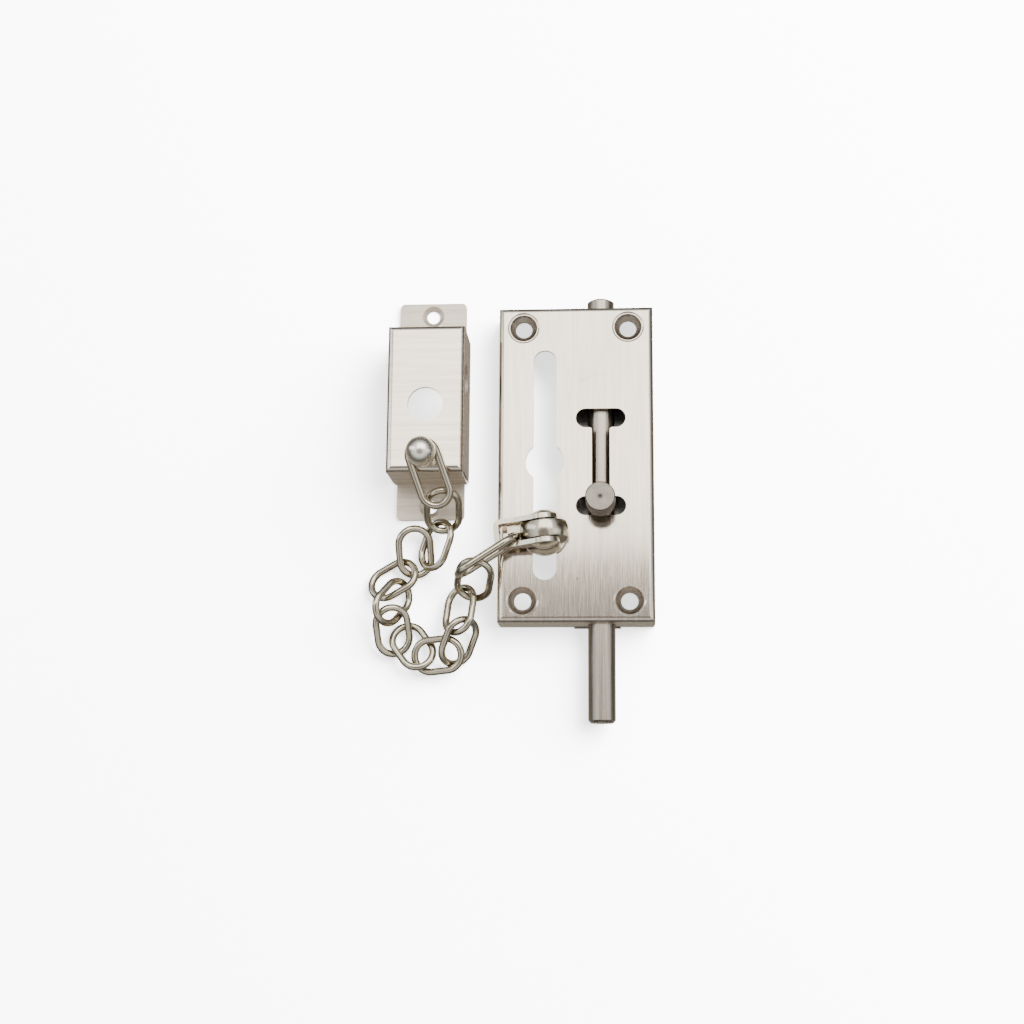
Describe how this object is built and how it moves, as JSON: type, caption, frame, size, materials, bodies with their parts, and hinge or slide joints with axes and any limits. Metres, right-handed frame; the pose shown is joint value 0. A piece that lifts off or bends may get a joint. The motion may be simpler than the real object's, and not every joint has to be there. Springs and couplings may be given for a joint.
{
  "type": "door chain guard with slide bolt",
  "caption": "Surface-mounted door chain guard: folded steel plate with a sliding chain runner and a built-in slide bolt, linked by a chain to a box-shaped keeper.",
  "frame": {"origin": "centre of the four plate screw holes, on the mounting plane at the back of the plate", "axes": "+X across the plate towards the bolt side, +Y along the plate away from the bolt tip, +Z out of the plate face"},
  "size_m": [0.089, 0.1347, 0.0325],
  "materials": {
    "satin_sheet": "satin brushed stainless steel, faintly warm",
    "channel_steel": "plain darker steel strip",
    "drawn_steel": "bright drawn rod with fine lengthwise lines",
    "turned_steel": "turned steel, darker, with fine rings",
    "nickel": "polished nickel plate, faintly yellow",
    "chain_nickel": "polished nickel plate, faintly yellow"
  },
  "bodies": {
    "plate": {"face_plate": "satin_sheet", "bolt_channel": "channel_steel"},
    "bolt": {"bolt_rod": "drawn_steel"},
    "knob": {"knob_stem": "turned_steel", "bolt_knob": "turned_steel"},
    "runner": {"runner_shank": "turned_steel", "runner_button": "channel_steel"},
    "head": {"runner_head": "nickel"},
    "clevis": {"clevis_strap": "nickel", "clevis_pin": "nickel"},
    "long_link_a": {"long_link_runner": "chain_nickel"},
    "link_01": {"chain_link_01": "chain_nickel"},
    "link_02": {"chain_link_02": "chain_nickel"},
    "link_03": {"chain_link_03": "chain_nickel"},
    "link_04": {"chain_link_04": "chain_nickel"},
    "link_05": {"chain_link_05": "chain_nickel"},
    "link_06": {"chain_link_06": "chain_nickel"},
    "link_07": {"chain_link_07": "chain_nickel"},
    "link_08": {"chain_link_08": "chain_nickel"},
    "link_09": {"chain_link_09": "chain_nickel"},
    "link_10": {"chain_link_10": "chain_nickel"},
    "link_11": {"chain_link_11": "chain_nickel"},
    "long_link_b": {"long_link_keeper": "chain_nickel"},
    "keeper": {"keeper_box": "satin_sheet", "ball_stud": "nickel"}
  },
  "joints": [
    {"name": "bolt_throw", "type": "slide", "parent": "plate", "child": "bolt", "axis": [0, 1, 0], "range_m": [0, 0.0277]},
    {"name": "knob_turn", "type": "hinge", "parent": "bolt", "child": "knob", "pos_m": [0.0077, -0.0139, 0.0055], "axis": [0, 1, 0], "range_deg": [-30, 36]},
    {"name": "runner_slide", "type": "slide", "parent": "plate", "child": "runner", "axis": [0, 1, 0], "range_m": [-0.0107, 0.0545]},
    {"name": "head_swivel", "type": "hinge", "parent": "runner", "child": "head", "pos_m": [-0.0095, -0.0225, 0.012], "axis": [0, 0, 1], "range_deg": [-6, 3]},
    {"name": "clevis_swing", "type": "hinge", "parent": "head", "child": "clevis", "pos_m": [-0.0095, -0.0225, 0.0186], "axis": [-0.1045, 0.9945, 0], "range_deg": [0, 150]},
    {"name": "long_link_a_swing", "type": "hinge", "parent": "clevis", "child": "long_link_a", "pos_m": [-0.0205, -0.0237, 0.019], "axis": [-0.1045, 0.9945, 0], "range_deg": [-4, 9]},
    {"name": "link_01_swing", "type": "hinge", "parent": "long_link_a", "child": "link_01", "pos_m": [-0.0325, -0.0342, 0.0138], "axis": [0.8085, 0.53, -0.2559], "range_deg": [-24, 30]},
    {"name": "link_02_swing", "type": "hinge", "parent": "link_01", "child": "link_02", "pos_m": [-0.0347, -0.0403, 0.0058], "axis": [-0.7628, 0.4882, 0.424], "range_deg": [-30, 30]},
    {"name": "link_03_swing", "type": "hinge", "parent": "link_02", "child": "link_03", "pos_m": [-0.0325, -0.0489, 0.0098], "axis": [0.3805, 0.9238, -0.0431], "range_deg": [0, 30]},
    {"name": "link_04_swing", "type": "hinge", "parent": "link_03", "child": "link_04", "pos_m": [-0.0393, -0.0612, 0.0035], "axis": [0.7205, -0.2343, -0.6526], "range_deg": [-30, 0]},
    {"name": "link_05_swing", "type": "hinge", "parent": "link_04", "child": "link_05", "pos_m": [-0.0457, -0.0543, 0.0051], "axis": [0.9785, 0.1054, 0.1774], "range_deg": [-30, 0]},
    {"name": "link_06_swing", "type": "hinge", "parent": "link_05", "child": "link_06", "pos_m": [-0.0555, -0.0574, 0.0038], "axis": [0.5839, -0.7749, 0.2419], "range_deg": [0, 30]},
    {"name": "link_07_swing", "type": "hinge", "parent": "link_06", "child": "link_07", "pos_m": [-0.0612, -0.0477, 0.0077], "axis": [0.3865, 0.8937, 0.2278], "range_deg": [0, 30]},
    {"name": "link_08_swing", "type": "hinge", "parent": "link_07", "child": "link_08", "pos_m": [-0.053, -0.0373, 0.0027], "axis": [-0.435, 0.6944, 0.5732], "range_deg": [-30, 30]},
    {"name": "link_09_swing", "type": "hinge", "parent": "link_08", "child": "link_09", "pos_m": [-0.053, -0.0295, 0.0022], "axis": [-0.9019, 0.2897, -0.3203], "range_deg": [-30, 6]},
    {"name": "link_10_swing", "type": "hinge", "parent": "link_09", "child": "link_10", "pos_m": [-0.0461, -0.022, 0.0047], "axis": [-0.3932, 0.8231, 0.4099], "range_deg": [0, 30]},
    {"name": "link_11_swing", "type": "hinge", "parent": "link_10", "child": "link_11", "pos_m": [-0.0433, -0.0175, 0.0045], "axis": [-0.8151, -0.1966, -0.545], "range_deg": [-30, 3]},
    {"name": "long_link_b_swing", "type": "hinge", "parent": "link_11", "child": "long_link_b", "pos_m": [-0.0417, -0.0095, 0.015], "axis": [0.9858, 0.1631, 0.0405], "range_deg": [-6, 30]},
    {"name": "keeper_swivel", "type": "hinge", "parent": "long_link_b", "child": "keeper", "pos_m": [-0.0461, 0, 0.022], "axis": [0, 0, -1], "range_deg": [-20, 10]}
  ]
}
